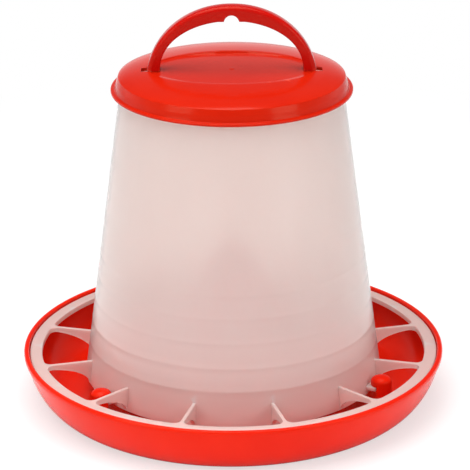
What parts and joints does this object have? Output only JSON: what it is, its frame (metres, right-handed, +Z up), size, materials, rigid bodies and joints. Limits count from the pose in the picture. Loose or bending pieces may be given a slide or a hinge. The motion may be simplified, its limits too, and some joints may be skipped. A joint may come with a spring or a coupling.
{
  "type": "poultry feeder",
  "caption": "Round poultry feeder: a dished red pan with a central cone, a translucent conical hopper with a finned feed-saver grid, a domed lid and an arched handle.",
  "frame": {"origin": "centre of the pan's foot, on the surface the feeder stands on", "axes": "+Z up along the hopper's axis; the handle's arch lies in the XZ plane; the camera of the picture looks along +Y"},
  "size_m": [0.26, 0.26, 0.2484],
  "materials": {
    "pan_red": "glossy moulded red plastic",
    "hopper_milky": "satin milky translucent plastic",
    "lid_red": "glossy moulded red plastic",
    "handle_red": "glossy moulded red plastic"
  },
  "bodies": {
    "root": {"base_pan": "pan_red", "hopper": "hopper_milky", "lid": "lid_red", "handle": "handle_red"}
  },
  "joints": []
}
